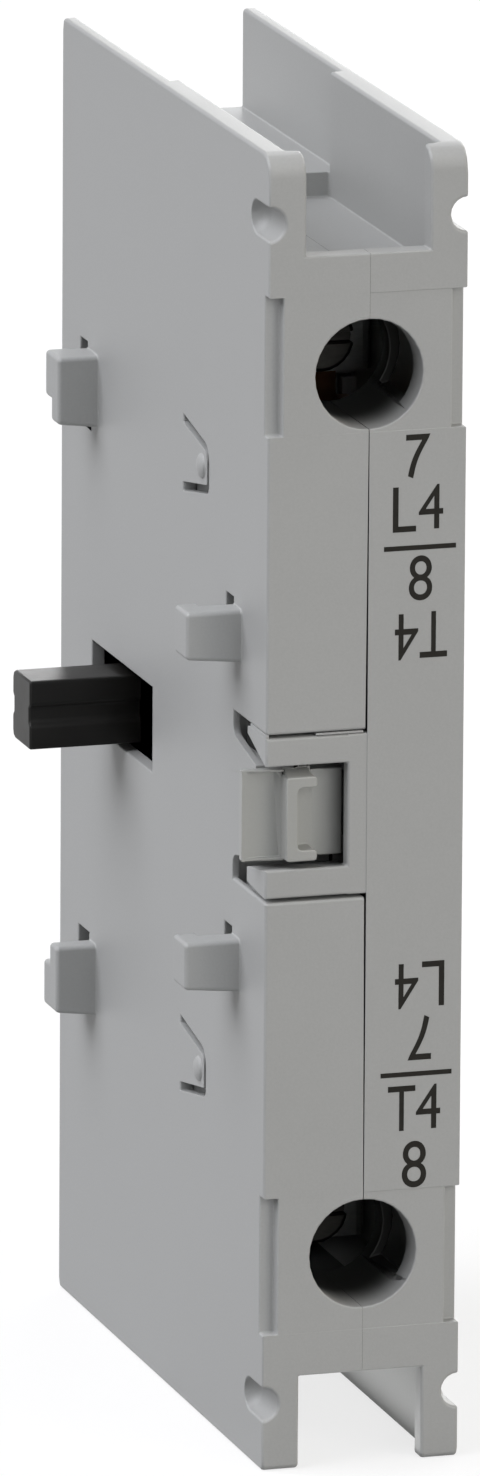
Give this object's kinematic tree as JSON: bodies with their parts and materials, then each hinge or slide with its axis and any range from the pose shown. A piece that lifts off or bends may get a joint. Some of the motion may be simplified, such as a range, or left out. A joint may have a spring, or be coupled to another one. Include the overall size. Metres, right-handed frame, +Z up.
{
  "type": "auxiliary switch",
  "caption": "Slim side-mounting auxiliary switch module with split shells, clip-on hooks, locking latch, actuator bar and front screw terminals.",
  "frame": {"origin": "on the flat mating side at mid height, 28 mm behind the front face", "axes": "+X from the mating side across the width, +Y back from the screw side, +Z up along the height"},
  "size_m": [0.0263, 0.0613, 0.1144],
  "materials": {
    "shell_grey": "fine matte moulding, light grey",
    "latch_grey": "satin moulding, light grey",
    "carrier_black": "satin moulding, black",
    "copper": "rolled copper strip",
    "silver": "silver contact alloy",
    "zinc_steel": "zinc-plated steel",
    "spring_steel": "drawn spring wire",
    "splitter_steel": "mild steel sheet"
  },
  "bodies": {
    "housing": {"left_shell": "shell_grey", "right_shell": "shell_grey", "latch_spring": "spring_steel", "upper_terminal_bar": "copper", "lower_terminal_bar": "copper", "upper_fixed_tip": "silver", "lower_fixed_tip": "silver", "upper_splitter_1": "splitter_steel", "upper_splitter_2": "splitter_steel", "upper_splitter_3": "splitter_steel", "upper_splitter_4": "splitter_steel", "lower_splitter_1": "splitter_steel", "lower_splitter_2": "splitter_steel", "lower_splitter_3": "splitter_steel", "lower_splitter_4": "splitter_steel"},
    "latch": {"locking_latch": "latch_grey"},
    "carrier": {"contact_carrier": "carrier_black", "contact_spring": "spring_steel"},
    "bridge": {"bridge_contact": "copper", "upper_moving_tip": "silver", "lower_moving_tip": "silver"},
    "upper_screw": {"upper_terminal_screw": "zinc_steel"},
    "lower_screw": {"lower_terminal_screw": "zinc_steel"},
    "upper_clamp": {"upper_clamp_cage": "zinc_steel"},
    "lower_clamp": {"lower_clamp_cage": "zinc_steel"}
  },
  "joints": [
    {"name": "latch_slide", "type": "slide", "parent": "housing", "child": "latch", "axis": [1, 0, 0], "range_m": [0, 0.002], "stiffness_N_per_m": 300, "springref_m": -0.002, "deforming": ["latch_spring"]},
    {"name": "carrier_slide", "type": "slide", "parent": "housing", "child": "carrier", "axis": [0, 1, 0], "range_m": [-0.0065, 0.005]},
    {"name": "bridge_overtravel", "type": "slide", "parent": "carrier", "child": "bridge", "axis": [0, 1, 0], "range_m": [0, 0.0012], "stiffness_N_per_m": 1500, "springref_m": -0.002, "deforming": ["contact_spring"]},
    {"name": "upper_screw_turn", "type": "hinge", "parent": "housing", "child": "upper_screw", "pos_m": [0.00875, -0.015, 0.0383], "axis": [0, 1, 0], "range_deg": [0, 2572]},
    {"name": "lower_screw_turn", "type": "hinge", "parent": "housing", "child": "lower_screw", "pos_m": [0.00875, -0.015, -0.0383], "axis": [0, 1, 0], "range_deg": [0, 2572]},
    {"name": "upper_clamp_lift", "type": "slide", "parent": "housing", "child": "upper_clamp", "axis": [0, -1, 0], "range_m": [0, 0.005]},
    {"name": "lower_clamp_lift", "type": "slide", "parent": "housing", "child": "lower_clamp", "axis": [0, -1, 0], "range_m": [0, 0.005]}
  ],
  "couplings": [
    {"joint": "upper_screw_turn", "follows": "upper_clamp_lift", "rad_per_m": 8976},
    {"joint": "lower_screw_turn", "follows": "lower_clamp_lift", "rad_per_m": 8976}
  ]
}
